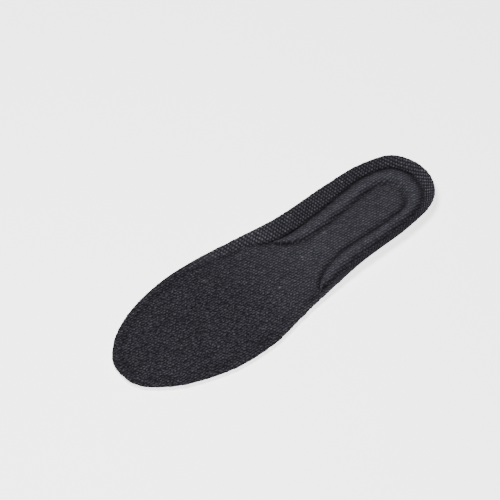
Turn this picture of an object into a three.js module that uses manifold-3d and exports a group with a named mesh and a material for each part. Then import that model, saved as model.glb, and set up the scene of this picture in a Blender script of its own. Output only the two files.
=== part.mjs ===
// Cushioned insole for a left shoe: a knit top cover, a thin backing film and a
// moulded bead-foam base with vent holes. Millimetres, +Z up. The toe points to -Y,
// the heel to +Y and the little-toe (lateral) side to +X. The origin is in the
// middle of the outline, on the floor. The insole bends at the ball of the foot,
// so each layer is cut there into a rear and a forefoot solid.
import * as THREE from 'three';
import { mergeVertices } from 'three/addons/utils/BufferGeometryUtils.js';
import Module from 'manifold-3d';

const wasm = await Module();
wasm.setup();

// ---------------------------------------------------------------- dimensions
// Stations are distances from the back of the heel, measured towards the toe.
// The top edge of the insole in plan, as [x, station], from the back of the heel
// along the lateral side to the toe and back along the medial side.
const RIM = [
  [-1, 0], [18, 5], [29.5, 18], [34.5, 45], [35, 90.5], [38, 137.5], [43.5, 173.5],
  [43, 202], [36, 229], [24.5, 251.5], [8.5, 267], [-13, 268], [-28.5, 255.5],
  [-41, 231.5], [-47, 197], [-45, 171], [-38, 140], [-31, 108], [-31, 65],
  [-29.5, 32.5], [-20.5, 8],
];
const RIM_STEPS = 60;          // samples between two outline points
const STATIONS = 30;           // cross-sections from heel to toe
const SPINE_START = 34;        // the rings close on a line between these stations
const SPINE_END = 226;

// Each profile is a list of [station, value].
const CENTRE_X = [[0, 2], [90, 2], [140, 0], [200, -2], [270, -2.5]];
const PLATFORM = [[0, 7], [60, 7], [100, 6.6], [130, 5.6], [165, 4.5], [190, 4.3], [270, 4.3]];
const LATERAL = {
  rimHeight: [
    [0, 12], [30, 12], [70, 11.5], [95, 10], [112, 7.6], [130, 5.6], [160, 4.4], [200, 4.3], [270, 4.3],
  ],
  outerGroove: [
    [0, 7.4], [30, 7.3], [50, 7.3], [70, 7.2], [100, 6], [112, 5.2], [127, 4.2], [160, 5], [270, 6],
  ],
  innerGroove: [
    [0, 22.4], [12, 20.5], [30, 17.4], [45, 17.6], [60, 18], [84, 18.8], [97, 18.2], [109, 16],
    [116, 13.4], [122, 9.8], [127, 4.2],
  ],
  crestShare: [[0, 0.62], [15, 0.54], [32, 0.47], [127, 0.46]],
  undercut: [
    [0, 7], [15, 8.2], [95, 7.6], [110, 6.2], [125, 4.8], [140, 3.8], [165, 3.3], [270, 3.3],
  ],
};
const MEDIAL = {
  rimHeight: [
    [0, 12], [30, 12.2], [70, 13], [100, 14], [118, 13], [137, 10.5], [160, 7.5], [185, 5], [210, 4.3],
    [270, 4.3],
  ],
  outerGroove: [
    [0, 7.4], [12, 7], [30, 6.9], [42, 7.5], [55, 8.8], [75, 10.4], [92, 10.9], [105, 11.1],
    [114, 11.2], [122, 11.2], [128, 9.2], [134, 7], [145, 5.8], [185, 5.6], [270, 6],
  ],
  innerGroove: [
    [0, 22.4], [12, 21], [30, 19.5], [55, 21.6], [75, 23.2], [92, 23.2], [105, 22.2], [115, 18.2],
    [125, 11],
  ],
  crestShare: [[0, 0.62], [40, 0.64], [127, 0.66]],
  undercut: [
    [0, 7], [40, 7.5], [70, 8.5], [90, 10.5], [112, 11.5], [125, 10.5], [137, 8], [150, 6],
    [170, 4.3], [190, 3.3], [270, 3.3],
  ],
};

const RIDGE_RISE = 2.1;        // cushion ridge above the heel platform
const RIDGE_FULL_WIDTH = 5;    // the ridge sinks where it is narrower than this
const RIDGE_FULLNESS = 0.9;    // below 1 the ridge is rounder, with tighter grooves
const GROOVE_DEPTH = 1.1;      // grooves on both sides of the ridge
const GROOVE_REACH = 2.5;      // how far a groove's inner flank reaches

const COVER_THICKNESS = 0.9;
const FILM_THICKNESS = 0.4;
const LAYER_GAP = 0.1;
const LIP_THICKNESS = 1.6;     // foam at the outer edge
const LIP_UNDERCUT = 1.2;      // how far the lip's lower edge lies inside its top
const EDGE_SLANT = 0.75;       // the layers' edges step in by this share of depth
const SOLE_ROUNDING = 1.6;     // rounding between side wall and sole

const FLEX_STATION = 186;      // ball-of-foot line, where the insole bends
const FLEX_GAP = 0.4;

const VENT_RADIUS = 1.9;
const VENT_SIDES = 8;
const VENT_PITCH = 12;
const VENT_ROWS = [
  { offset: -1, first: 26, count: 11 },
  { offset: 0, first: 22, count: 13 },
  { offset: 1, first: 30, count: 11 },
  { offset: -0.5, first: 140, count: 2 },
];
const VENT_SPREAD = [[20, 9], [36, 14], [50, 16], [75, 15], [105, 12], [125, 13.5], [160, 18]];

// Where the rings lie: shares of the cup wall, of each flank of the ridge, of the
// middle between the ridge and the spine, and of the foam's side wall.
const WALL_RINGS = [0.5, 1];
const OUTER_FLANK_RINGS = [0.4, 1];
const INNER_FLANK_RINGS = [0.6, 1];
const MIDDLE_RINGS = [0.5, 1];
const LEAST_RIDGE = 4;         // flank rings keep this width where the ridge has ended
const SOLE_RINGS = [0.3, 0.7, 1, 1.3];

const COVER_COLOUR = 0x35353a;
const FILM_COLOUR = 0xb9b39a;
const FOAM_COLOUR = 0xf3f3f1;

// ------------------------------------------------------------------ profiles
// A smooth curve through [station, value] pairs, level at both ends.
function along(table, station) {
  const last = table.length - 1;
  if (station <= table[0][0]) return table[0][1];
  if (station >= table[last][0]) return table[last][1];
  const i = table.findIndex(([s]) => s > station) - 1;
  const [s0, v0] = table[i];
  const [s1, v1] = table[i + 1];
  const step = s1 - s0;
  const slopeAt = (k) => {
    if (k === 0 || k === last) return 0;
    return (table[k + 1][1] - table[k - 1][1]) / (table[k + 1][0] - table[k - 1][0]);
  };
  const t = (station - s0) / step;
  const t2 = t * t;
  const t3 = t2 * t;
  const fromStart = (2 * t3 - 3 * t2 + 1) * v0 + (t3 - 2 * t2 + t) * step * slopeAt(i);
  const fromEnd = (3 * t2 - 2 * t3) * v1 + (t3 - t2) * step * slopeAt(i + 1);
  return fromStart + fromEnd;
}

const smooth = (t) => {
  const c = Math.min(1, Math.max(0, t));
  return c * c * (3 - 2 * c);
};

// Height of the cover's top at an inset from the rim, on one side's station.
// The ridge's crest lies nearer to one of its grooves: crestShare says where.
function topHeight(side, station, inset) {
  const platform = along(PLATFORM, station);
  const outer = along(side.outerGroove, station);
  const inner = Math.max(outer, along(side.innerGroove, station));
  const ridge = station > side.innerGroove.at(-1)[0] ? 0 : smooth((inner - outer) / RIDGE_FULL_WIDTH);
  const groove = platform - GROOVE_DEPTH * ridge;
  if (inset < outer) {
    const t = 1 - inset / outer;
    const climb = 0.7 * t + 0.3 * smooth(t);
    return groove + (along(side.rimHeight, station) - groove) * climb;
  }
  if (ridge > 0 && inset < inner) {
    const share = along(side.crestShare, station);
    const q = (inset - outer) / (inner - outer);
    const turn = q < share ? q / share : 1 + (q - share) / (1 - share);
    const arch = Math.max(0, Math.sin((Math.PI / 2) * turn)) ** RIDGE_FULLNESS;
    return groove + (RIDGE_RISE + GROOVE_DEPTH) * ridge * arch;
  }
  return platform - GROOVE_DEPTH * ridge * Math.exp(-(((inset - inner) / GROOVE_REACH) ** 2));
}

// Height of the foam's underside: a leaning side wall, rounded into the flat sole.
function soleHeight(side, station, inset) {
  const edge = lipInset();
  const top = along(side.rimHeight, station) - stackDepth() - LIP_THICKNESS;
  const reach = along(side.undercut, station);
  const wall = top * (1 - (inset - edge) / (reach - edge));
  const rounding = Math.min(SOLE_ROUNDING, top / 2);
  if (wall > rounding) return wall;
  if (wall < -rounding) return 0;
  return (wall + rounding) ** 2 / (4 * rounding);
}

const stackDepth = () => COVER_THICKNESS + FILM_THICKNESS + 2 * LAYER_GAP;
const lipInset = () => EDGE_SLANT * stackDepth() + LIP_UNDERCUT;

// --------------------------------------------------------------- plan outline
// The rim's x on both sides at a list of stations, centred on the outline's box.
function sampleRim() {
  const points = RIM.map(([x, s]) => new THREE.Vector3(x, s, 0));
  const curve = new THREE.CatmullRomCurve3(points, true, 'centripetal');
  const count = RIM.length * RIM_STEPS;
  const samples = Array.from({ length: count }, (_, i) => curve.getPoint(i / count));
  const xs = samples.map((p) => p.x);
  const ss = samples.map((p) => p.y);
  const heel = ss.indexOf(Math.min(...ss));
  const toe = ss.indexOf(Math.max(...ss));
  const walk = (from, to, direction) => {
    const path = [];
    for (let i = from; i !== to; i = (i + direction + count) % count) path.push(samples[i]);
    path.push(samples[to]);
    return path;
  };
  return {
    lateral: walk(heel, toe, 1),
    medial: walk(heel, toe, -1),
    midX: (Math.min(...xs) + Math.max(...xs)) / 2,
    start: ss[heel],
    end: ss[toe],
  };
}

const rim = sampleRim();
const MID_STATION = (rim.start + rim.end) / 2;

function rimX(path, station) {
  const i = path.findIndex((p) => p.y >= station);
  if (i < 1) return path[i < 0 ? path.length - 1 : 0].x;
  const a = path[i - 1];
  const b = path[i];
  return a.x + ((b.x - a.x) * (station - a.y)) / (b.y - a.y);
}

// One entry for each point round the rim: where it is, and where its ray ends.
function rays() {
  const list = [];
  const add = (side, path, k) => {
    const share = (1 - Math.cos((Math.PI * k) / STATIONS)) / 2;
    const station = rim.start + (rim.end - rim.start) * share;
    const target = Math.min(SPINE_END, Math.max(SPINE_START, station));
    const start = new THREE.Vector2(rimX(path, station), station);
    const end = new THREE.Vector2(along(CENTRE_X, target), target);
    list.push({ side, station, start, end, length: start.distanceTo(end) });
  };
  for (let k = 0; k <= STATIONS; k += 1) add(LATERAL, rim.lateral, k);
  for (let k = STATIONS - 1; k > 0; k -= 1) add(MEDIAL, rim.medial, k);
  return list;
}

const RAYS = rays();

// A point on a ray at an inset from the rim, in the part's frame.
function place(ray, inset, z) {
  const p = ray.start.clone().lerp(ray.end, inset / ray.length);
  return new THREE.Vector3(p.x - rim.midX, MID_STATION - p.y, z);
}

// -------------------------------------------------------------------- solids
// Insets of one ray's rings inside its edge, following both grooves and the crest.
function ringInsets(ray) {
  const outer = along(ray.side.outerGroove, ray.station);
  const inner = Math.max(along(ray.side.innerGroove, ray.station), outer + LEAST_RIDGE);
  const crest = outer + along(ray.side.crestShare, ray.station) * (inner - outer);
  return [
    ...WALL_RINGS.map((share) => share * outer),
    ...OUTER_FLANK_RINGS.map((share) => outer + share * (crest - outer)),
    ...INNER_FLANK_RINGS.map((share) => crest + share * (inner - crest)),
    ...MIDDLE_RINGS.map((share) => inner + share * (ray.length - inner)),
  ];
}

// Rings of a surface that lies a fixed depth under the cover's top.
function topRings(depth) {
  const rows = RAYS.map((ray) => [EDGE_SLANT * depth, ...ringInsets(ray)].map((inset) => (
    place(ray, inset, topHeight(ray.side, ray.station, inset) - depth)
  )));
  return rows[0].map((_, level) => rows.map((row) => row[level]));
}

// Rings of the foam's underside, from the lip to the spine.
function soleRings() {
  const ringInset = (ray, share) => {
    const reach = along(ray.side.undercut, ray.station);
    return lipInset() + share * (reach - lipInset());
  };
  const ring = (inset) => RAYS.map((ray) => {
    const d = inset(ray);
    return place(ray, d, soleHeight(ray.side, ray.station, d));
  });
  const wall = [0, ...SOLE_RINGS].map((share) => ring((ray) => ringInset(ray, share)));
  return [...wall, ring((ray) => ray.length)];
}

// A closed solid between an upper and a lower stack of rings, both running inwards.
// Both stacks split their quads along the same diagonal, so stacked layers stay apart.
function solidBetween(upper, lower) {
  const rings = [...upper.toReversed(), ...lower];
  const around = RAYS.length;
  const index = [];
  for (let r = 0; r + 1 < rings.length; r += 1) {
    for (let i = 0; i < around; i += 1) {
      const a = r * around + i;
      const b = r * around + ((i + 1) % around);
      const [c, d] = [a + around, b + around];
      if (r < upper.length) index.push(a, b, d, a, d, c);
      else index.push(a, b, c, b, d, c);
    }
  }
  const flat = rings.flat().flatMap((p) => [p.x, p.y, p.z]);
  return { flat, index };
}

// Merges equal vertices and drops the triangles that collapse on the spine.
function manifoldOf(geometry) {
  const bare = geometry.clone();
  bare.deleteAttribute('normal');
  bare.deleteAttribute('uv');
  const merged = mergeVertices(bare, 1e-4);
  const source = merged.index.array;
  const kept = [];
  for (let i = 0; i < source.length; i += 3) {
    const [a, b, c] = [source[i], source[i + 1], source[i + 2]];
    if (a !== b && b !== c && a !== c) kept.push(a, b, c);
  }
  const mesh = new wasm.Mesh({
    numProp: 3,
    vertProperties: new Float32Array(merged.attributes.position.array),
    triVerts: new Uint32Array(kept),
  });
  mesh.merge();
  return new wasm.Manifold(mesh);
}

function layer(upper, lower) {
  const { flat, index } = solidBetween(upper, lower);
  const geometry = new THREE.BufferGeometry();
  geometry.setAttribute('position', new THREE.Float32BufferAttribute(flat, 3));
  geometry.setIndex(index);
  return manifoldOf(geometry);
}

// A block that holds everything behind or in front of the flex line.
function block(behind) {
  const size = 400;
  const box = new THREE.BoxGeometry(size, size, size);
  const flexY = MID_STATION - FLEX_STATION;
  const shift = (size + FLEX_GAP) / 2;
  box.translate(0, behind ? flexY + shift : flexY - shift, 0);
  return manifoldOf(box);
}

// Vent holes run in rows that follow the waist, right through the foam.
function ventPositions() {
  return VENT_ROWS.flatMap(({ offset, first, count }) => {
    const row = Array.from({ length: count }, (_, i) => first + VENT_PITCH * i);
    return row.map((station) => ({
      x: along(CENTRE_X, station) + offset * along(VENT_SPREAD, station) - rim.midX,
      y: MID_STATION - station,
    }));
  });
}

function drill(solid) {
  const depth = 40;
  return ventPositions().reduce((rest, { x, y }) => {
    const bit = new THREE.CylinderGeometry(VENT_RADIUS, VENT_RADIUS, depth, VENT_SIDES);
    bit.rotateX(Math.PI / 2);
    bit.translate(x, y, 0);
    return rest.subtract(manifoldOf(bit));
  }, solid);
}

// -------------------------------------------------------------------- assembly
function meshOf(solid, name, colour, roughness) {
  const { vertProperties, triVerts } = solid.getMesh();
  const geometry = new THREE.BufferGeometry();
  geometry.setAttribute('position', new THREE.BufferAttribute(vertProperties, 3));
  geometry.setIndex(new THREE.BufferAttribute(triVerts, 1));
  const material = new THREE.MeshStandardMaterial({ color: colour, roughness, metalness: 0 });
  const mesh = new THREE.Mesh(geometry, material);
  mesh.name = name;
  return mesh;
}

function build() {
  const filmTop = COVER_THICKNESS + LAYER_GAP;
  const cover = layer(topRings(0), topRings(COVER_THICKNESS));
  const film = layer(topRings(filmTop), topRings(filmTop + FILM_THICKNESS));
  const foam = drill(layer(topRings(stackDepth()), soleRings()));
  const layers = [
    ['knit_cover', cover, COVER_COLOUR, 0.95],
    ['backing_film', film, FILM_COLOUR, 0.6],
    ['foam_base', foam, FOAM_COLOUR, 0.55],
  ];
  const insole = new THREE.Group();
  for (const [name, solid, colour, roughness] of layers) {
    insole.add(meshOf(solid.intersect(block(true)), `${name}_rear`, colour, roughness));
    insole.add(meshOf(solid.intersect(block(false)), `${name}_forefoot`, colour, roughness));
  }
  return insole;
}

export default build();
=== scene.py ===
"""Looks for a cushioned insole: charcoal knit cover, beige bonding film, white bead foam."""
import math
from types import SimpleNamespace

import bpy
import numpy as np
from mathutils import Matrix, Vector, kdtree


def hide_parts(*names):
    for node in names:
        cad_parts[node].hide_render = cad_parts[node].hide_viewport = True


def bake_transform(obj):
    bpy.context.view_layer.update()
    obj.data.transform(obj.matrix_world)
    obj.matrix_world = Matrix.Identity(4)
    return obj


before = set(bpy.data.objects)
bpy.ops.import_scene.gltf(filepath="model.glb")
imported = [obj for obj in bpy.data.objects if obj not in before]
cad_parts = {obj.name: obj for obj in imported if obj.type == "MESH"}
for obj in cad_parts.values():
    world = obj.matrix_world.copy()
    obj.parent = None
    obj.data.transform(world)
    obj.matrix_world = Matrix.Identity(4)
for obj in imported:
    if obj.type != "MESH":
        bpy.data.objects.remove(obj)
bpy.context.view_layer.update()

MM = 0.001

# ------------------------------------------------------------------ dimensions, mm
# Stations are distances from the back of the heel, measured towards the toe.
# The top edge in plan, as [x, station], from the back of the heel along the
# lateral side to the toe and back along the medial side.
RIM = [
    [-1, 0], [18, 5], [29.5, 18], [34.5, 45], [35, 90.5], [38, 137.5], [43.5, 173.5],
    [43, 202], [36, 229], [24.5, 251.5], [8.5, 267], [-13, 268], [-28.5, 255.5],
    [-41, 231.5], [-47, 197], [-45, 171], [-38, 140], [-31, 108], [-31, 65],
    [-29.5, 32.5], [-20.5, 8],
]
RIM_STEPS = 60                 # samples between two outline points
SPINE_START = 34               # the rings close on a line between these stations
SPINE_END = 226

# Each profile is a list of [station, value].
CENTRE_X = [[0, 2], [90, 2], [140, 0], [200, -2], [270, -2.5]]
PLATFORM = [
    [0, 7], [60, 7], [100, 6.6], [130, 5.6], [165, 4.5], [190, 4.3], [270, 4.3],
]
LATERAL = {
    "rim_height": [
        [0, 12], [30, 12], [70, 11.5], [95, 10], [112, 7.6], [130, 5.6], [160, 4.4],
        [200, 4.3], [270, 4.3],
    ],
    "outer_groove": [
        [0, 7.4], [30, 7.3], [50, 7.3], [70, 7.2], [100, 6], [112, 5.2], [127, 4.2],
        [160, 5], [270, 6],
    ],
    "inner_groove": [
        [0, 22.4], [12, 20.5], [30, 17.4], [45, 17.6], [60, 18], [84, 18.8], [97, 18.2],
        [109, 16], [116, 13.4], [122, 9.8], [127, 4.2],
    ],
    "crest_share": [[0, 0.62], [15, 0.54], [32, 0.47], [127, 0.46]],
    "undercut": [
        [0, 7], [15, 8.2], [95, 7.6], [110, 6.2], [125, 4.8], [140, 3.8], [165, 3.3], [270, 3.3],
    ],
}
MEDIAL = {
    "rim_height": [
        [0, 12], [30, 12.2], [70, 13], [100, 14], [118, 13], [137, 10.5], [160, 7.5],
        [185, 5], [210, 4.3], [270, 4.3],
    ],
    "outer_groove": [
        [0, 7.4], [12, 7], [30, 6.9], [42, 7.5], [55, 8.8], [75, 10.4], [92, 10.9],
        [105, 11.1], [114, 11.2], [122, 11.2], [128, 9.2], [134, 7], [145, 5.8], [185, 5.6],
        [270, 6],
    ],
    "inner_groove": [
        [0, 22.4], [12, 21], [30, 19.5], [55, 21.6], [75, 23.2], [92, 23.2], [105, 22.2],
        [115, 18.2], [125, 11],
    ],
    "crest_share": [[0, 0.62], [40, 0.64], [127, 0.66]],
    "undercut": [
        [0, 7], [40, 7.5], [70, 8.5], [90, 10.5], [112, 11.5], [125, 10.5], [137, 8],
        [150, 6], [170, 4.3], [190, 3.3], [270, 3.3],
    ],
}
RIDGE_RISE = 2.1               # cushion ridge above the heel platform
RIDGE_FULL_WIDTH = 5           # the ridge sinks where it is narrower than this
RIDGE_FULLNESS = 0.9           # below 1 the ridge is rounder, with tighter grooves
GROOVE_DEPTH = 1.1             # grooves on both sides of the ridge
GROOVE_REACH = 2.5             # how far a groove's inner flank reaches
WALL_STRAIGHTNESS = 0.7        # 1 would be a straight wall, 0 one that levels off at both ends

COVER_THICKNESS = 0.9
FILM_THICKNESS = 0.4
LAYER_GAP = 0.1
LIP_THICKNESS = 1.6            # foam at the outer edge
LIP_UNDERCUT = 1.2             # how far the lip's lower edge lies inside its top
EDGE_SLANT = 0.75              # the layers' edges step in by this share of depth
SOLE_ROUNDING = 1.6            # rounding between side wall and sole
FILM_TOP = COVER_THICKNESS + LAYER_GAP
FOAM_TOP = FILM_TOP + FILM_THICKNESS + LAYER_GAP
LIP_INSET = EDGE_SLANT * FOAM_TOP + LIP_UNDERCUT

EDGE_BEVEL = 0.22              # worn corner of the cover's cut edge
EDGE_JAG = 0.35                # how far cut stitches stick out of the edge
EDGE_TEETH = 420               # cut stitches counted round the edge
EDGE_CALM = 6                  # the soft waves fade in over this distance from the edge
UNEVENNESS = 0.09              # height of the moulded cover's soft waves
UNEVEN_LENGTH = 15             # and their usual length

# How dark and how wide the painted shade along the moulded lines is, and how wide the painted
# highlight on the crest. Pairs are for the lateral and medial side.
LOW_WALL, HIGH_WALL = 0.6, 3.6  # the rim's rise where a wall starts, and where it is full
CREASE_ENDS = (133, 124)       # stations where the painted shade in the crease at the wall's foot fades
CREASE_FADE = 12
CREASE_WALL_WIDTH = 1.4        # on the wall's side of the crease
CREASE_WIDTH = (3.3, 2.1)      # on its other side
CREASE_SHADE = (0.5, 1.0)
WAIST_STATION = 106            # the medial crease's painted shade is darkest here
WAIST_REACH = 14
INNER_LINE_WIDTH = 2.0
INNER_LINE_SHADE = (0.75, 0.55)
CREST_HIGHLIGHT_WIDTH = 0.4              # width of the painted highlight, as a share of the way from groove to crest

VENT_RADIUS = 1.9
VENT_PITCH = 12
VENT_ROWS = [                  # share of the spread, first station, holes in the row
    [-1, 26, 11], [0, 22, 13], [1, 30, 11], [-0.5, 140, 2],
]
VENT_SPREAD = [[20, 9], [36, 14], [50, 16], [75, 15], [105, 12], [125, 13.5], [160, 18]]
VENT_PROFILE = [               # height over the floor, and flare beyond the vent's radius
    (-3, 0.9), (0.0, 0.45), (0.45, 0.12), (0.9, 0), (20, 0),
]
VENT_SIDES = 40

BEAD_SPACING = 4.8             # least distance between bead centres on the sole
BEAD_HALF_LENGTH = (1.95, 2.35)
BEAD_HALF_WIDTH = (1.55, 1.8)
BEAD_RISE = 0.5                # a bead's dome over the foam between the beads
BEAD_CREASE = 0.35             # depth of the crease round a bead
BEAD_CREASE_WIDTH = 0.5
BEAD_REACH = 1.04              # the crease's middle, in half lengths from the bead's centre
CREASE_CLEAR = 3               # farther than this from a bead there is no crease
WALL_BEAD_SPACING = (5.6, 3.0)  # along and across the side wall
WALL_BEAD_HALF = (2.4, 1.2)
WALL_BEAD_LEAN = 0.12          # spread of their headings, radians
LOWEST_BEAD_WALL = 5           # a lower side wall has no beads of its own
BEAD_TRIES = 26000             # random places tried for a bead
BEADS_NEARBY = 3               # nearest beads that can shape a point of the surface
BORDER = 2.2                   # smooth foam along the lower edge
BEAD_START = 1.0               # the beads stand out from this far off the lower edge
VENT_CLEARANCE = 1.7           # smooth foam round a vent

# --------------------------------------------------------------------- mesh fineness
WELD_DISTANCE = 0.002
COVER_RAYS = 1240              # points round the rim of each piece
FILM_RAYS = 480
FOAM_RAYS = 1120
COVER_RINGS = (12, 18, 26)     # rings on the wall, on the ridge and in the middle
FILM_RINGS = (5, 9, 6)
HIDDEN_RINGS = (4, 7, 4)       # for a side that another layer covers
LEAST_RIDGE_BAND = 4           # room for the ridge's rings where there is no ridge
SOLE_RINGS = 68
SOLE_SAMPLES = 500             # samples that measure the sole's profile
EDGE_SEED, WAVE_SEED, BEAD_SEED = 5, 11, 23

# ------------------------------------------------------------------------- profiles


def smooth(t):
    """A soft step from 0 to 1."""
    c = np.clip(t, 0, 1)
    return c * c * (3 - 2 * c)


def along(table, station):
    """A smooth curve through [station, value] pairs, level at both ends."""
    s, v = np.array(table, float).T
    slope = np.zeros_like(v)
    slope[1:-1] = (v[2:] - v[:-2]) / (s[2:] - s[:-2])
    x = np.clip(station, s[0], s[-1])
    i = np.clip(np.searchsorted(s, x, side="right") - 1, 0, len(s) - 2)
    step = s[i + 1] - s[i]
    t = (x - s[i]) / step
    from_start = (2 * t**3 - 3 * t**2 + 1) * v[i] + (t**3 - 2 * t**2 + t) * step * slope[i]
    from_end = (3 * t**2 - 2 * t**3) * v[i + 1] + (t**3 - t**2) * step * slope[i + 1]
    return from_start + from_end


def closed_curve(points, steps):
    """A closed centripetal Catmull-Rom curve through the points."""
    p = np.array(points, float)
    p0, p1, p2, p3 = (np.roll(p, k, axis=0) for k in (1, 0, -1, -2))
    gap = [
        np.sqrt(np.linalg.norm(b - a, axis=1))[:, None]
        for a, b in ((p0, p1), (p1, p2), (p2, p3))
    ]
    slope_in = (p1 - p0) / gap[0] - (p2 - p0) / (gap[0] + gap[1]) + (p2 - p1) / gap[1]
    slope_out = (p2 - p1) / gap[1] - (p3 - p1) / (gap[1] + gap[2]) + (p3 - p2) / gap[2]
    m1 = slope_in * gap[1]
    m2 = slope_out * gap[1]
    t = (np.arange(steps) / steps)[None, :, None]
    p1, p2, m1, m2 = (a[:, None, :] for a in (p1, p2, m1, m2))
    cubic = (2 * p1 - 2 * p2 + m1 + m2) * t**3
    square = (-3 * p1 + 3 * p2 - 2 * m1 - m2) * t**2
    return (cubic + square + m1 * t + p1).reshape(-1, 2)


rim_curve = closed_curve(RIM, RIM_STEPS)
MID_X = (rim_curve[:, 0].min() + rim_curve[:, 0].max()) / 2
MID_STATION = (rim_curve[:, 1].min() + rim_curve[:, 1].max()) / 2


def rim_sides():
    """The rim's two sides as dense paths of [x, station], both from heel to toe."""
    heel, toe = rim_curve[:, 1].argmin(), rim_curve[:, 1].argmax()
    lateral = np.roll(rim_curve, -heel, axis=0)[: (toe - heel) % len(rim_curve) + 1]
    medial = np.roll(rim_curve, -toe, axis=0)[: (heel - toe) % len(rim_curve) + 1][::-1]
    return lateral, medial


def make_rays(count):
    """Points round the rim, each with a ray to the spine and its profile.

    The two sides use the same stations, so their rays meet on the spine. The mean of
    the sides' arc lengths sets the stations, which spaces both sides almost evenly.
    """
    sides = rim_sides()
    share = np.linspace(0, 1, count // 2 + 1)
    stations = 0
    for path in sides:
        step = np.linalg.norm(np.diff(path, axis=0), axis=1)
        run = np.concatenate([[0], np.cumsum(step)])
        stations = stations + np.interp(share * run[-1], run, path[:, 1]) / len(sides)
    xs = [np.interp(stations, path[:, 1], path[:, 0]) for path in sides]
    lateral_points = np.stack([xs[0], stations], axis=1)
    medial_points = np.stack([xs[1], stations], axis=1)[-2:0:-1]
    start = np.concatenate([lateral_points, medial_points])
    station = start[:, 1]
    lateral = np.arange(len(start)) < len(lateral_points)
    target = np.clip(station, SPINE_START, SPINE_END)
    end = np.stack([along(CENTRE_X, target), target], axis=1)
    length = np.linalg.norm(end - start, axis=1)
    value = {
        key: np.where(lateral, along(LATERAL[key], station), along(MEDIAL[key], station))
        for key in LATERAL
    }
    outer = value["outer_groove"]
    inner = np.maximum(outer, value["inner_groove"])
    ridge_end = np.where(lateral, LATERAL["inner_groove"][-1][0], MEDIAL["inner_groove"][-1][0])
    ridge = np.where(station > ridge_end, 0, smooth((inner - outer) / RIDGE_FULL_WIDTH))
    return SimpleNamespace(
        count=len(start), start=start, end=end, length=length, station=station,
        inward=(end - start) / length[:, None], lateral=lateral,
        platform=along(PLATFORM, station), outer=outer, inner=inner, ridge=ridge,
        crest_share=value["crest_share"],
        rim_height=value["rim_height"], undercut=value["undercut"],
    )


def column(values):
    """One value for each ray, ready to meet the rings of that ray."""
    return values[:, None]


def crest_turn(rays, inset):
    """0 in the outer groove, 1 on the ridge's crest, 2 in the inner groove."""
    outer, inner = column(rays.outer), column(rays.inner)
    share = column(rays.crest_share)
    q = np.clip((inset - outer) / np.maximum(inner - outer, 1e-6), 0, 1)
    return np.where(q < share, q / share, 1 + (q - share) / (1 - share))


def top_height(rays, inset):
    """Height of the cover's top at insets from the rim, one row of insets for each ray."""
    outer, inner, ridge = column(rays.outer), column(rays.inner), column(rays.ridge)
    platform, rim = column(rays.platform), column(rays.rim_height)
    groove = platform - GROOVE_DEPTH * ridge
    t = np.clip(1 - inset / outer, 0, 1)
    climb = WALL_STRAIGHTNESS * t + (1 - WALL_STRAIGHTNESS) * smooth(t)
    wall = groove + (rim - groove) * climb
    arch = np.sin(np.pi / 2 * crest_turn(rays, inset)) ** RIDGE_FULLNESS
    crest = groove + (RIDGE_RISE + GROOVE_DEPTH) * ridge * arch
    flat = platform - GROOVE_DEPTH * ridge * np.exp(-(((inset - inner) / GROOVE_REACH) ** 2))
    on_ridge = (ridge > 0) & (inset < inner)
    return np.where(inset < outer, wall, np.where(on_ridge, crest, flat))


def sole_height(rays, inset):
    """Height of the foam's underside: a leaning side wall, rounded into the flat sole."""
    top = column(rays.rim_height) - FOAM_TOP - LIP_THICKNESS
    reach = column(rays.undercut)
    wall = top * (1 - (inset - LIP_INSET) / (reach - LIP_INSET))
    # A parabola leads from the wall into the sole.
    rounding = np.minimum(SOLE_ROUNDING, top / 2)
    blend = (wall + rounding) ** 2 / (4 * rounding)
    return np.where(wall > rounding, wall, np.where(wall < -rounding, 0, blend))


# --------------------------------------------------------------------------- meshes


def place(rays, inset, z):
    """Ring points in the part's frame, shaped [ray, ring, xyz], in mm."""
    plan = rays.start[:, None, :] + rays.inward[:, None, :] * inset[:, :, None]
    return np.stack([plan[..., 0] - MID_X, MID_STATION - plan[..., 1], z], axis=-1)


def unrolled(rays, points, insets=None):
    """Where each ring point lies once the surface is pressed flat, measured from the spine.

    With insets, only the wall is unrolled: over the ridge the cloth counts as stretched.
    """
    step = np.linalg.norm(np.diff(points, axis=1), axis=2)
    if insets is not None:
        middle = (insets[:, 1:] + insets[:, :-1]) / 2
        step = np.where(middle < column(rays.outer), step, np.diff(insets, axis=1))
    run = np.concatenate([np.zeros((rays.count, 1)), np.cumsum(step, axis=1)], axis=1)
    from_spine = run[:, -1:] - run
    flat = rays.end[:, None, :] - rays.inward[:, None, :] * from_spine[:, :, None]
    return np.stack([flat[..., 0] - MID_X, MID_STATION - flat[..., 1]], axis=-1), run


def feature_insets(rays, first, counts):
    """Ring insets that follow both grooves, so that the creases stay clean."""
    inner = np.maximum(rays.inner, rays.outer + LEAST_RIDGE_BAND)
    parts = [(first, rays.outer), (rays.outer, inner), (inner, rays.length)]
    rings = []
    for (low, high), count in zip(parts, counts):
        share = np.arange(count) / count
        low = np.broadcast_to(low, rays.count)
        rings.append(low[:, None] + (high - low)[:, None] * share)
    return np.concatenate([*rings, column(rays.length)], axis=1)


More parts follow.
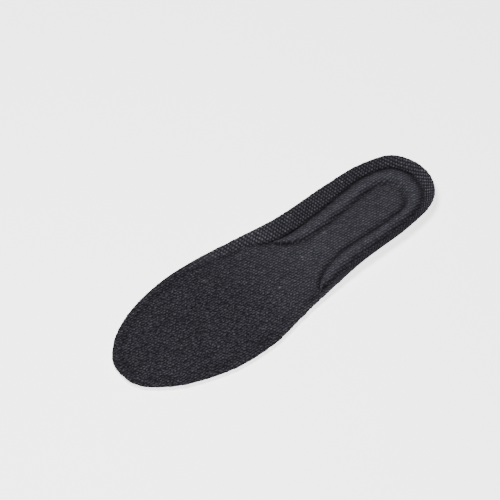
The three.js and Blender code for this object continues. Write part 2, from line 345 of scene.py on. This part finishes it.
def closed_mesh(name, rays, upper, lower, attributes):
    """A closed skin from two stacks of rings, both running from the rim to the spine."""
    rings = np.concatenate([upper[:, ::-1], lower], axis=1)
    count, levels = rings.shape[:2]
    index = np.arange(count * levels).reshape(count, levels)
    a, b = index[:, :-1], np.roll(index, -1, axis=0)[:, :-1]
    d, c = np.roll(index, -1, axis=0)[:, 1:], index[:, 1:]
    faces = np.stack([a, b, d, c], axis=-1).reshape(-1, 4)
    mesh = bpy.data.meshes.new(name)
    mesh.from_pydata((rings.reshape(-1, 3) * MM).tolist(), [], faces.tolist())
    for key, (over, under) in attributes.items():
        values = np.concatenate([over[:, ::-1], under], axis=1)
        if values.ndim == 3:
            flat = np.concatenate([values, np.zeros_like(values[..., :1])], axis=-1)
            layer = mesh.attributes.new(key, "FLOAT_VECTOR", "POINT")
            layer.data.foreach_set("vector", flat.astype(np.float32).ravel())
        else:
            layer = mesh.attributes.new(key, "FLOAT", "POINT")
            layer.data.foreach_set("value", values.astype(np.float32).ravel())
    piece = bpy.data.objects.new(name, mesh)
    bpy.context.scene.collection.objects.link(piece)
    weld = piece.modifiers.new("weld", "WELD")
    weld.merge_threshold = WELD_DISTANCE * MM
    apply_modifiers(piece)
    piece.data.shade_smooth()
    return piece


def apply_modifiers(piece):
    """Puts the modified mesh in place of the old one."""
    graph = bpy.context.evaluated_depsgraph_get()
    mesh = bpy.data.meshes.new_from_object(piece.evaluated_get(graph))
    piece.modifiers.clear()
    old = piece.data
    piece.data = mesh
    bpy.data.meshes.remove(old)


def waves(points, length, seed, terms=14):
    """Smooth pseudo-random waves of about this wavelength, from -1 to 1."""
    random = np.random.default_rng(seed)
    total = np.zeros(points.shape[:-1])
    for _ in range(terms):
        angle = random.uniform(0, 2 * np.pi)
        k = 2 * np.pi / (length * random.uniform(0.7, 1.5))
        phase = random.uniform(0, 2 * np.pi)
        run = points[..., 0] * np.cos(angle) + points[..., 1] * np.sin(angle)
        total += np.sin(k * run + phase)
    return total / np.sqrt(2 * terms)


def layer_points(rays, insets, depth):
    """Ring points on a layer that lies this deep under the cover's top."""
    z = top_height(rays, insets) - depth
    return place(rays, insets, z)


# ----------------------------------------------------------------------- materials


class Graph:
    """Short names for building a material's nodes."""

    def __init__(self, name):
        self.material = bpy.data.materials.new(name)
        self.material.use_nodes = True
        self.tree = self.material.node_tree
        self.shader = self.tree.nodes["Principled BSDF"]

    def node(self, kind, inputs=(), **settings):
        """A new node with these settings and inputs."""
        made = self.tree.nodes.new(kind)
        for key, value in settings.items():
            setattr(made, key, value)
        for key, value in dict(inputs).items():
            self.feed(made.inputs[key], value)
        return made

    def feed(self, socket, value):
        """Links an output to the socket, or sets the socket to a plain value."""
        if isinstance(value, bpy.types.NodeSocket):
            self.tree.links.new(value, socket)
        else:
            socket.default_value = value

    def calc(self, operation, *values):
        """One step of arithmetic."""
        made = self.node("ShaderNodeMath", operation=operation)
        for socket, value in zip(made.inputs, values):
            self.feed(socket, value)
        return made.outputs[0]

    def product(self, first, *others):
        """All the values multiplied together."""
        for other in others:
            first = self.calc("MULTIPLY", first, other)
        return first

    def mix2(self, a, share_a, b, share_b):
        """a and b added in these shares."""
        first = self.calc("MULTIPLY", a, share_a)
        second = self.calc("MULTIPLY", b, share_b)
        return self.calc("ADD", first, second)

    def attribute(self, name, output="Fac"):
        """Values stored on the mesh under this name."""
        return self.node("ShaderNodeAttribute", attribute_name=name).outputs[output]

    def noise(self, vector, scale, detail=2.0, roughness=0.5):
        """A noise node: its Fac and its Color are used."""
        inputs = {"Vector": vector, "Scale": scale, "Detail": detail, "Roughness": roughness}
        return self.node("ShaderNodeTexNoise", inputs)

    def ramp(self, value, stops):
        """A colour for the value, from stops of a position and a colour."""
        made = self.node("ShaderNodeValToRGB", {"Fac": value})
        elements = made.color_ramp.elements
        while len(elements) < len(stops):
            elements.new(0.5)
        for element, (position, colour) in zip(elements, stops):
            element.position = position
            element.color = (*colour, 1)
        return made.outputs["Color"]

    def remap(self, value, low, high, new_low, new_high):
        """The value moved from one range to another, and held within it."""
        inputs = {
            "Value": value, "From Min": low, "From Max": high,
            "To Min": new_low, "To Max": new_high,
        }
        return self.node("ShaderNodeMapRange", inputs).outputs["Result"]

    def vector(self, operation, a, b):
        """One step of vector arithmetic."""
        made = self.node("ShaderNodeVectorMath", operation=operation)
        self.feed(made.inputs[0], a)
        self.feed(made.inputs[1], b)
        return made.outputs[0]

    def tint(self, colour, factor):
        """The colour times a number."""
        made = self.node("ShaderNodeVectorMath", operation="SCALE")
        self.feed(made.inputs[0], colour)
        self.feed(made.inputs["Scale"], factor)
        return made.outputs[0]

    def wave(self, phase):
        """A cosine of a phase counted in turns."""
        return self.calc("COSINE", self.calc("MULTIPLY", phase, 2 * math.pi))

    def finish(self, colour, roughness, height, distance):
        """Joins the colour, the roughness and the bump to the shader."""
        inputs = {"Height": height, "Distance": distance, "Strength": 1.0}
        bump = self.node("ShaderNodeBump", inputs)
        self.feed(self.shader.inputs["Base Color"], colour)
        self.feed(self.shader.inputs["Roughness"], roughness)
        self.feed(self.shader.inputs["Normal"], bump.outputs["Normal"])
        return self.material


# The knit repeats on a slanted grid: steps in mm across and along the cloth.
STEP_ALONG = (0.14, 2.58)      # to the next stitch in the same column
STEP_ACROSS = (1.84, 0.84)     # to the same stitch one column over
KNUCKLE_HALF = (1.25, 0.8)     # half length and half width of a stitch's raised part
KNUCKLE_TURN = math.radians(62)
KNIT_BUMP = 0.3                # height of the bump, mm
PAINTED_CREASE_HALF_WIDTH = 0.38             # half width of the painted shade line round a bead, mm
FOAM_BUMP = 0.25
FILM_BUMP = 0.12


def knit_material():
    """Charcoal melange mesh knit: raised knuckles of twisted yarn with pin gaps between."""
    g = Graph("charcoal_knit")
    cloth = g.attribute("knit", "Vector")
    order = g.attribute("order")
    # Painted shade in the grooves and on the walls, and a painted highlight on the ridge's crest.
    relief = g.attribute("relief")

    # The yarn wanders, least where the cloth is stretched over the heel and the walls.
    wander = g.noise(cloth, 0.45, 1.0).outputs["Color"]
    centred = g.vector("SUBTRACT", wander, (0.5, 0.5, 0.5))
    shift = g.tint(centred, g.remap(order, 0, 1, 2.6, 0.7))
    split = g.node("ShaderNodeSeparateXYZ", {"Vector": g.vector("ADD", cloth, shift)})
    u, v = split.outputs["X"], split.outputs["Y"]

    # Grid numbers of the stitch: the inverse of the two steps.
    area = STEP_ACROSS[0] * STEP_ALONG[1] - STEP_ACROSS[1] * STEP_ALONG[0]
    across = g.mix2(u, STEP_ALONG[1] / area, v, -STEP_ALONG[0] / area)
    ahead = g.mix2(u, -STEP_ACROSS[1] / area, v, STEP_ACROSS[0] / area)
    whole = {"X": g.calc("FLOOR", across), "Y": g.calc("FLOOR", ahead)}
    cell = g.node("ShaderNodeCombineXYZ", whole)
    dice = g.node("ShaderNodeTexWhiteNoise", {"Vector": cell.outputs[0]})
    chance = dice.outputs["Value"]
    off_column = g.calc("SUBTRACT", g.calc("FRACT", across), 0.5)
    off_row = g.calc("SUBTRACT", g.calc("FRACT", ahead), 0.5)
    # Each stitch sits a little off its place, less so where the cloth is stretched.
    offset = g.vector("SUBTRACT", dice.outputs["Color"], (0.5, 0.5, 0.5))
    lean = g.tint(offset, g.remap(order, 0, 1, 1.0, 0.4))
    slip = g.node("ShaderNodeSeparateXYZ", {"Vector": lean})
    dx = g.mix2(off_column, STEP_ACROSS[0], off_row, STEP_ALONG[0])
    dy = g.mix2(off_column, STEP_ACROSS[1], off_row, STEP_ALONG[1])
    dx = g.calc("ADD", dx, slip.outputs["X"])
    dy = g.calc("ADD", dy, slip.outputs["Y"])
    cosine, sine = math.cos(KNUCKLE_TURN), math.sin(KNUCKLE_TURN)
    lengthwise = g.mix2(dx, cosine, dy, sine)
    sideways = g.mix2(dx, -sine, dy, cosine)
    tall = g.calc("POWER", g.calc("DIVIDE", lengthwise, KNUCKLE_HALF[0]), 2.0)
    wide = g.calc("POWER", g.calc("DIVIDE", sideways, KNUCKLE_HALF[1]), 2.0)
    knuckle = g.calc("MAXIMUM", g.calc("SUBTRACT", 1.0, g.calc("ADD", wide, tall)), 0.0)
    stitch = g.calc("POWER", knuckle, 0.7)

    # Twisted strands on each stitch, frayed fibres, and broad uneven patches.
    twist = g.calc("SINE", g.mix2(dx, 9.0, dy, 14.0))
    fibre = g.noise(cloth, 0.95, 2.0, 0.6).outputs["Fac"]
    broad = g.noise(cloth, 0.035, 2.0).outputs["Fac"]

    # Each stitch has its own shade of yarn, and a few are much paler.
    melange = g.ramp(chance, [
        (0.0, (0.0125, 0.0120, 0.0148)),
        (0.5, (0.0150, 0.0144, 0.0176)),
        (0.992, (0.0180, 0.0172, 0.0208)),
        (1.0, (0.0280, 0.0270, 0.0310)),
    ])
    depth = g.remap(stitch, 0, 1, 0.45, 1.42)
    frayed = g.remap(fibre, 0.3, 0.7, 0.25, 1.75)
    # A fine furrow runs between one column of stitches and the next. On the stretched walls
    # the rows and their diagonals show instead, as ribs that climb the wall, and on the
    # lateral side the diagonals are the stronger ones.
    wall = g.remap(order, 0.8, 1, 0, 1)
    furrow = g.product(g.wave(off_column), g.remap(wall, 0, 1, 0.4, 0.08))
    diagonal = g.wave(g.calc("ADD", off_column, off_row))
    diagonal = g.product(diagonal, g.remap(u, 5, 20, 0.42, 0.9))
    rib = g.product(g.mix2(g.wave(off_row), 0.36, diagonal, 1.0), wall)
    lines = g.calc("ADD", g.calc("ADD", furrow, rib), 0.98)
    # The weave stands out most on the walls, and least on the heel's stretched cloth.
    contrast = g.product(g.remap(order, 0, 0.75, 0.88, 0.62), g.remap(wall, 0, 1, 1, 1.25))
    weave = g.calc("SUBTRACT", g.product(depth, frayed, lines), 1.0)
    weave = g.calc("MAXIMUM", g.calc("ADD", g.product(weave, contrast), 1.0), 0.05)
    patchy = g.remap(broad, 0.3, 0.7, 0.95, 1.05)
    # Painted shade darkens the creases, the grooves and the walls, and a painted highlight pales
    # the ridge's crest. The cloth is also paler where its stitch rows are tidy, in the heel and
    # on the walls.
    raised = g.remap(relief, 0, 1, 1.0, 1.22)
    painted_shade_factor = g.remap(relief, -1.2, 0, 0.1, 1.0)
    stretched = g.remap(order, 0, 0.75, 0.95, 1.38)
    colour = g.tint(melange, g.product(weave, patchy, raised, painted_shade_factor, stretched))

    roughness = g.remap(stitch, 0, 1, 0.98, 0.85)
    strands = g.product(twist, stitch, 0.08)
    height = g.calc("ADD", g.calc("ADD", stitch, strands), g.calc("MULTIPLY", fibre, 0.3))
    g.shader.inputs["Specular IOR Level"].default_value = 0.02
    return g.finish(colour, roughness, height, KNIT_BUMP * MM)


def foam_material():
    """White expanded-bead foam: satin skin, with painted shade greying the creases round the
    beads.
    """
    g = Graph("white_bead_foam")
    place_mm = g.attribute("unrolled", "Vector")
    grain = g.noise(place_mm, 1.6, 3.0, 0.6).outputs["Fac"]
    broad = g.noise(place_mm, 0.05, 2.0).outputs["Fac"]
    patches = g.noise(place_mm, 0.22, 2.0).outputs["Fac"]
    off_line = g.calc("DIVIDE", g.attribute("gap"), PAINTED_CREASE_HALF_WIDTH)
    crease = g.calc("EXPONENT", g.product(off_line, off_line, -1.0))
    # The painted crease shade is fainter in places.
    crease = g.calc("MULTIPLY", crease, g.remap(patches, 0.35, 0.65, 0.55, 1.0))
    # Painted shade: the colour greys towards a bead's crease.
    colour = g.ramp(crease, [
        (0.0, (0.71, 0.71, 0.70)),
        (0.5, (0.46, 0.46, 0.47)),
        (1.0, (0.25, 0.25, 0.27)),
    ])
    tone = g.product(g.remap(grain, 0.3, 0.7, 0.97, 1.03), g.remap(broad, 0.3, 0.7, 0.97, 1.02))
    roughness = g.remap(grain, 0.3, 0.7, 0.42, 0.6)
    height = g.mix2(grain, 0.15, crease, -1.0)
    g.shader.inputs["Specular IOR Level"].default_value = 0.45
    return g.finish(g.tint(colour, tone), roughness, height, FOAM_BUMP * MM)


def film_material():
    """Beige bonding web of fine matted fibres."""
    g = Graph("beige_film")
    place_mm = g.attribute("knit", "Vector")
    stretched = g.node("ShaderNodeMapping", {"Vector": place_mm, "Scale": (3.5, 0.8, 1.0)})
    fibres = g.noise(stretched.outputs[0], 1.2, 4.0, 0.65).outputs["Fac"]
    blotches = g.noise(place_mm, 0.25, 2.0).outputs["Fac"]
    colour = g.ramp(fibres, [
        (0.3, (0.30, 0.27, 0.19)),
        (0.5, (0.43, 0.40, 0.29)),
        (0.72, (0.56, 0.53, 0.41)),
    ])
    tone = g.remap(blotches, 0.3, 0.7, 0.9, 1.08)
    roughness = g.remap(fibres, 0.3, 0.7, 0.75, 0.55)
    return g.finish(g.tint(colour, tone), roughness, fibres, FILM_BUMP * MM)


# ------------------------------------------------------------------------ the pieces


def cloth_facts(flat):
    """Width, length and area of the cloth pressed flat, in metres."""
    edge = flat[:, 0]
    nxt = np.roll(edge, -1, axis=0)
    area = abs(np.sum(edge[:, 0] * nxt[:, 1] - edge[:, 1] * nxt[:, 0])) / 2
    size = np.ptp(edge, axis=0) * MM
    return (float(size[0]), float(size[1])), float(area * MM * MM)


def rise_of_wall(rays):
    """0 where the rim is level with the platform, 1 where it stands well above it."""
    rise = column(rays.rim_height) - column(rays.platform)
    return smooth((rise - LOW_WALL) / (HIGH_WALL - LOW_WALL))


def painted_shade_and_highlight(rays, inset):
    """Painted shade and highlight on the cover, from -1 for painted shade in the grooves and
    walls to 1 for a painted highlight on the ridge's crest.
    """
    outer, inner, ridge = column(rays.outer), column(rays.inner), column(rays.ridge)
    lateral, station = column(rays.lateral), column(rays.station)

    # Painted shade in the crease at the wall's foot, which fades towards the forefoot.
    fade_from = np.where(lateral, *CREASE_ENDS)
    crease = 1 - 0.65 * smooth((station - fade_from) / CREASE_FADE)
    off_groove = inset - outer
    width = np.where(off_groove < 0, CREASE_WALL_WIDTH, np.where(lateral, *CREASE_WIDTH))
    outer_line = crease * np.exp(-((off_groove / width) ** 2))
    waist = np.exp(-(((station - WAIST_STATION) / WAIST_REACH) ** 2))
    outer_line *= np.where(lateral, *CREASE_SHADE) * np.where(lateral, 1, 1 + 0.2 * waist)

    # Painted shade in the groove inside the ridge, which is faint at the back of the heel.
    present = (ridge > 0) * smooth((inner - outer) / 2)
    inner_line = present * np.exp(-(((inset - inner) / INNER_LINE_WIDTH) ** 2))
    inner_line *= np.where(lateral, *INNER_LINE_SHADE)
    inner_line *= 0.35 + 0.65 * smooth(station / 35)

    # Painted shade darkens the walls a little too, the lateral one least at the back of the heel.
    lateral_shade = 0.05 + 0.32 * smooth((station - 15) / 20)
    medial_shade = 0.18 * smooth((124 - station) / 12)
    shade = np.where(lateral, lateral_shade, medial_shade)
    wall = shade * rise_of_wall(rays) * smooth((outer + 0.5 - inset) / 2)
    # A painted highlight along the ridge's crest.
    crest = present * np.exp(-(((crest_turn(rays, inset) - 1) / CREST_HIGHLIGHT_WIDTH) ** 2))
    return crest - np.maximum(np.maximum(outer_line, inner_line), wall)


def tidiness(rays, inset):
    """How tidy the rows of stitches are: most on the walls and in the heel."""
    wall = rise_of_wall(rays) * smooth((column(rays.outer) + 1 - inset) / 2)
    return np.maximum(wall, 0.75 * smooth((190 - column(rays.station)) / 100))


def make_cover():
    """The knit cover, and its flat size and area."""
    rays = make_rays(COVER_RAYS)
    teeth = np.random.default_rng(EDGE_SEED).uniform(-1, 1, EDGE_TEETH)
    around = np.arange(rays.count) / rays.count * EDGE_TEETH
    jag = EDGE_JAG * np.interp(around, np.arange(EDGE_TEETH), teeth, period=EDGE_TEETH)

    bevel = feature_insets(rays, EDGE_BEVEL, COVER_RINGS)
    top = layer_points(rays, bevel, 0.0)
    fade = smooth(bevel / EDGE_CALM)
    top[..., 2] += UNEVENNESS * fade * waves(top, UNEVEN_LENGTH, WAVE_SEED)
    corner = layer_points(rays, column(jag + EDGE_SLANT * EDGE_BEVEL), EDGE_BEVEL)
    upper = np.concatenate([corner, top], axis=1)

    bottom_insets = feature_insets(rays, EDGE_SLANT * COVER_THICKNESS, HIDDEN_RINGS)
    bottom_insets[:, 0] += jag
    lower = layer_points(rays, bottom_insets, COVER_THICKNESS)

    over_inset = np.concatenate([np.zeros((rays.count, 1)), bevel], axis=1)
    over_cloth, _ = unrolled(rays, upper, over_inset)
    under_cloth, _ = unrolled(rays, lower, bottom_insets)

    attributes = {
        "knit": (over_cloth, under_cloth),
        "order": (tidiness(rays, over_inset), tidiness(rays, bottom_insets)),
        # relief carries the painted shade of the grooves and walls and the painted highlight of
        # the crest.
        "relief": (painted_shade_and_highlight(rays, over_inset), painted_shade_and_highlight(rays, bottom_insets)),
    }
    piece = closed_mesh("knit_cover", rays, upper, lower, attributes)
    piece.data.materials.append(knit_material())
    return piece, cloth_facts(unrolled(rays, upper)[0])


def make_film():
    """The backing film, and its flat size and area."""
    rays = make_rays(FILM_RAYS)
    over = feature_insets(rays, EDGE_SLANT * FILM_TOP, FILM_RINGS)
    under = feature_insets(rays, EDGE_SLANT * (FILM_TOP + FILM_THICKNESS), FILM_RINGS)
    upper = layer_points(rays, over, FILM_TOP)
    lower = layer_points(rays, under, FILM_TOP + FILM_THICKNESS)
    over_flat, _ = unrolled(rays, upper)
    under_flat, _ = unrolled(rays, lower)
    piece = closed_mesh("backing_film", rays, upper, lower, {"knit": (over_flat, under_flat)})
    piece.data.materials.append(film_material())
    return piece, cloth_facts(over_flat)


def vent_places():
    """Plan positions of the vents in the part's frame, mm."""
    found = []
    for offset, first, count in VENT_ROWS:
        station = first + VENT_PITCH * np.arange(count)
        x = along(CENTRE_X, station) + offset * along(VENT_SPREAD, station) - MID_X
        found.append(np.stack([x, MID_STATION - station], axis=1))
    return np.concatenate(found)


def scatter_beads(rays, flat, run, wall_run):
    """Bead centres on the unrolled underside, as rows of x, y, half length, half width, angle."""
    random = np.random.default_rng(BEAD_SEED)
    edge = flat[:, 0]
    low, high = edge.min(axis=0), edge.max(axis=0)
    tree = kdtree.KDTree(flat.shape[0] * flat.shape[1])
    for number, (x, y) in enumerate(flat.reshape(-1, 2)):
        tree.insert((x, y, 0), number)
    tree.balance()
    vents = vent_places()
    tangent = np.roll(edge, -1, axis=0) - edge
    heading = np.arctan2(tangent[:, 1], tangent[:, 0])
    rings = flat.shape[1]
    beads = np.empty((0, 5))
    for x, y in random.uniform(low, high, (BEAD_TRIES, 2)):
        _, nearest, distance = tree.find((x, y, 0))
        ray, ring = divmod(nearest, rings)
        from_edge = run[ray, ring]
        if distance > 1 or from_edge < BORDER:
            continue
        if np.min(np.hypot(vents[:, 0] - x, vents[:, 1] - y)) < VENT_RADIUS + VENT_CLEARANCE:
            continue
        on_wall = wall_run[ray] > LOWEST_BEAD_WALL and from_edge < wall_run[ray]
        angle = heading[ray]
        spacing = WALL_BEAD_SPACING if on_wall else (BEAD_SPACING, BEAD_SPACING)
        dx, dy = beads[:, 0] - x, beads[:, 1] - y
        ahead = dx * math.cos(angle) + dy * math.sin(angle)
        aside = dy * math.cos(angle) - dx * math.sin(angle)
        if np.any(np.hypot(ahead / spacing[0], aside / spacing[1]) < 1):
            continue
        if on_wall:
            size = np.array(WALL_BEAD_HALF) * random.uniform(0.85, 1.1)
            angle += random.normal(0, WALL_BEAD_LEAN)
        else:
            size = random.uniform(*np.transpose([BEAD_HALF_LENGTH, BEAD_HALF_WIDTH]))
            angle = random.uniform(0, np.pi)
        beads = np.vstack([beads, [x, y, *size, angle]])
    return beads


def bead_relief(flat, beads):
    """Height of the beads' domes, and the signed distance to the nearest bead's crease."""
    tree = kdtree.KDTree(len(beads))
    for number, bead in enumerate(beads):
        tree.insert((bead[0], bead[1], 0), number)
    tree.balance()
    points = flat.reshape(-1, 2)
    near = np.array([
        [number for _, number, _ in tree.find_n((x, y, 0), BEADS_NEARBY)] for x, y in points
    ])
    bead = beads[near]
    dx = points[:, None, 0] - bead[..., 0]
    dy = points[:, None, 1] - bead[..., 1]
    ahead = dx * np.cos(bead[..., 4]) + dy * np.sin(bead[..., 4])
    aside = dy * np.cos(bead[..., 4]) - dx * np.sin(bead[..., 4])
    reach = np.hypot(ahead / bead[..., 2], aside / bead[..., 3])
    dome = np.clip(1 - reach**2, 0, 1).max(axis=1)
    gap = (reach - BEAD_REACH) * np.sqrt(bead[..., 2] * bead[..., 3])
    gap = np.clip(gap.min(axis=1), -CREASE_CLEAR, CREASE_CLEAR)
    return dome.reshape(flat.shape[:2]), gap.reshape(flat.shape[:2])


def make_foam():
    """The foam base, with its beads raised in the mesh and its vents cut."""
    rays = make_rays(FOAM_RAYS)
    fine = LIP_INSET + column(rays.length - LIP_INSET) * np.linspace(0, 1, SOLE_SAMPLES)
    profile = place(rays, fine, sole_height(rays, fine))
    _, fine_run = unrolled(rays, profile)
    # The rings lie evenly along the surface, so that the wall is as fine as the sole.
    insets = np.stack([
        np.interp(np.linspace(0, run[-1], SOLE_RINGS), run, inset)
        for run, inset in zip(fine_run, fine)
    ])
    # The sole's skin lies a bead's rise above the floor, so that the beads just touch it.
    height = sole_height(rays, insets)
    on_floor = 1 - smooth(height / 3)
    lower = place(rays, insets, height + BEAD_RISE * on_floor)
    flat, run = unrolled(rays, lower)
    wall_run = np.array([
        np.interp(reach, inset, arc) for reach, inset, arc in zip(rays.undercut, fine, fine_run)
    ])

    beads = scatter_beads(rays, flat, run, wall_run)
    dome, gap = bead_relief(flat, beads)

    # The beads rise and the creases sink along the skin's outward direction, which is down.
    round_rim = np.roll(lower, -1, axis=0) - np.roll(lower, 1, axis=0)
    inward = np.gradient(lower, axis=1)
    normal = np.cross(inward, round_rim)
    normal /= np.maximum(np.linalg.norm(normal, axis=2, keepdims=True), 1e-9)
    normal[normal[..., 2] > 0] *= -1
    normal[:, -1] = (0, 0, -1)
    fade = smooth(run - BEAD_START)
    crease = np.exp(-((gap / BEAD_CREASE_WIDTH) ** 2))
    relief = (BEAD_RISE * dome - BEAD_CREASE * crease) * fade
    lower = lower + normal * relief[..., None]

    over = feature_insets(rays, EDGE_SLANT * FOAM_TOP, HIDDEN_RINGS)
    upper = layer_points(rays, over, FOAM_TOP)
    over_flat, _ = unrolled(rays, upper)
    attributes = {
        "unrolled": (over_flat, flat),
        "gap": (np.full(over.shape, float(CREASE_CLEAR)), gap + CREASE_CLEAR * (1 - fade)),
    }
    piece = closed_mesh("foam_base", rays, upper, lower, attributes)
    drill(piece)
    # The cut leaves an empty material slot behind, which would show as plain grey.
    piece.data.materials.clear()
    piece.data.materials.append(foam_material())
    return piece


def drill(piece):
    """Cuts the vents: a straight hole with a small rounded mouth on the sole."""
    sides, levels = VENT_SIDES, len(VENT_PROFILE)
    verts, faces = [], []
    for x, y in vent_places():
        first = len(verts)
        for z, flare in VENT_PROFILE:
            for k in range(sides):
                turn = 2 * math.pi * k / sides
                radius = VENT_RADIUS + flare
                at = (x + radius * math.cos(turn), y + radius * math.sin(turn), z)
                verts.append([value * MM for value in at])
        for level in range(levels - 1):
            for k in range(sides):
                a = first + level * sides + k
                b = first + level * sides + (k + 1) % sides
                faces.append((a, b, b + sides, a + sides))
        faces.append([first + k for k in reversed(range(sides))])
        faces.append([first + (levels - 1) * sides + k for k in range(sides)])
    mesh = bpy.data.meshes.new("vent_bits")
    mesh.from_pydata(verts, [], faces)
    clear = mesh.attributes.new("gap", "FLOAT", "POINT")
    clear.data.foreach_set("value", [CREASE_CLEAR] * len(verts))
    where = mesh.attributes.new("unrolled", "FLOAT_VECTOR", "POINT")
    where.data.foreach_set("vector", (np.array(verts, np.float32) / MM).ravel())
    bits = bpy.data.objects.new("vent_bits", mesh)
    bpy.context.scene.collection.objects.link(bits)
    cut = piece.modifiers.new("vents", "BOOLEAN")
    cut.operation = "DIFFERENCE"
    cut.solver = "MANIFOLD"
    cut.object = bits
    apply_modifiers(piece)
    bpy.data.objects.remove(bits)
    bpy.data.meshes.remove(mesh)
    piece.data.shade_smooth()


# --------------------------------------------------------------- stage, light, camera
FLOOR_GLOW = 1.6               # the floor is lit through from below, as on a light table
FLOOR_PROFILE = [              # radius and height in metres: the rim curves up
    (0, 0), (3.4, 0), (3.9, 0.03), (4.3, 0.14), (4.55, 0.32), (4.65, 0.55),
]
FLOOR_SIDES = 96
FLOOR_DROP = 0.0002            # keeps the floor just clear of the sole, metres
WORLD_LIGHT = 0.5
LAMP_DIRECTION = (0.03, -0.3, 1.0)
LAMP_DISTANCE = 1.1            # metres, as is the lamp's width
LAMP_SIZE = 0.4
LAMP_POWER = 33                # watts
CAMERA_AZIMUTH = 48.0
CAMERA_ELEVATION = 50.0
CAMERA_DISTANCE = 1.792
CAMERA_TARGET = (-0.0284, 0.00165, 0)
CAMERA_LENS = 189.4            # for a sensor 36 mm wide


def make_stage():
    """A pale, faintly mottled round floor."""
    g = Graph("pale_floor")
    where = g.node("ShaderNodeTexCoord").outputs["Object"]
    mottle = g.noise(where, 3.0, 2.0).outputs["Fac"]
    colour = g.ramp(mottle, [(0.3, (0.86, 0.86, 0.86)), (0.7, (0.88, 0.88, 0.88))])
    g.finish(colour, 0.9, mottle, 0.05 * MM)
    g.shader.inputs["Specular IOR Level"].default_value = 0.2
    g.shader.inputs["Emission Color"].default_value = (1, 1, 1, 1)
    g.shader.inputs["Emission Strength"].default_value = FLOOR_GLOW
    verts = [(0, 0, -FLOOR_DROP)]
    for radius, height in FLOOR_PROFILE[1:]:
        for k in range(FLOOR_SIDES):
            turn = 2 * math.pi * k / FLOOR_SIDES
            verts.append((radius * math.cos(turn), radius * math.sin(turn), height - FLOOR_DROP))
    faces = [(0, 1 + k, 1 + (k + 1) % FLOOR_SIDES) for k in range(FLOOR_SIDES)]
    for ring in range(len(FLOOR_PROFILE) - 2):
        for k in range(FLOOR_SIDES):
            a = 1 + ring * FLOOR_SIDES + k
            b = 1 + ring * FLOOR_SIDES + (k + 1) % FLOOR_SIDES
            faces.append((a, a + FLOOR_SIDES, b + FLOOR_SIDES, b))
    mesh = bpy.data.meshes.new("floor")
    mesh.from_pydata(verts, [], faces)
    floor = bpy.data.objects.new("floor", mesh)
    bpy.context.scene.collection.objects.link(floor)
    floor.data.shade_smooth()
    floor.data.materials.append(g.material)


def make_light():
    """Even light from all round, and a soft lamp overhead."""
    world = bpy.data.worlds.new("studio")
    bpy.context.scene.world = world
    world.use_nodes = True
    background = world.node_tree.nodes["Background"]
    background.inputs["Color"].default_value = (1, 1, 1, 1)
    background.inputs["Strength"].default_value = WORLD_LIGHT

    light = bpy.data.lights.new("overhead", "AREA")
    light.shape = "DISK"
    light.size = LAMP_SIZE
    light.energy = LAMP_POWER
    lamp = bpy.data.objects.new("overhead", light)
    away = Vector(LAMP_DIRECTION).normalized()
    lamp.location = away * LAMP_DISTANCE
    lamp.rotation_mode = "QUATERNION"
    lamp.rotation_quaternion = away.to_track_quat("Z", "Y")
    bpy.context.scene.collection.objects.link(lamp)


def make_camera():
    """A long lens that looks down at the insole from its lateral toe side."""
    data = bpy.data.cameras.new("camera")
    data.sensor_width = 36
    data.lens = CAMERA_LENS
    data.clip_start = 0.05
    data.clip_end = 20
    camera = bpy.data.objects.new("camera", data)
    turn, tilt = math.radians(CAMERA_AZIMUTH), math.radians(CAMERA_ELEVATION)
    back = Vector((
        math.sin(turn) * math.cos(tilt),
        -math.cos(turn) * math.cos(tilt),
        math.sin(tilt),
    ))
    camera.location = Vector(CAMERA_TARGET) + back * CAMERA_DISTANCE
    camera.rotation_mode = "QUATERNION"
    camera.rotation_quaternion = (-back).to_track_quat("-Z", "Y")
    bpy.context.scene.collection.objects.link(camera)
    bpy.context.scene.camera = camera


# ----------------------------------------------------------------------------- build
cover, (cover_flat, cover_area) = make_cover()
film, (film_flat, film_area) = make_film()
foam = make_foam()

for piece, slot, layer in (
    (cover, "knit_fabric", "knit_cover"),
    (film, "backing_film", "backing_film"),
    (foam, "bead_foam", "foam_base"),
):
    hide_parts(f"{layer}_rear", f"{layer}_forefoot")
    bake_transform(piece)

make_stage()
make_light()
make_camera()
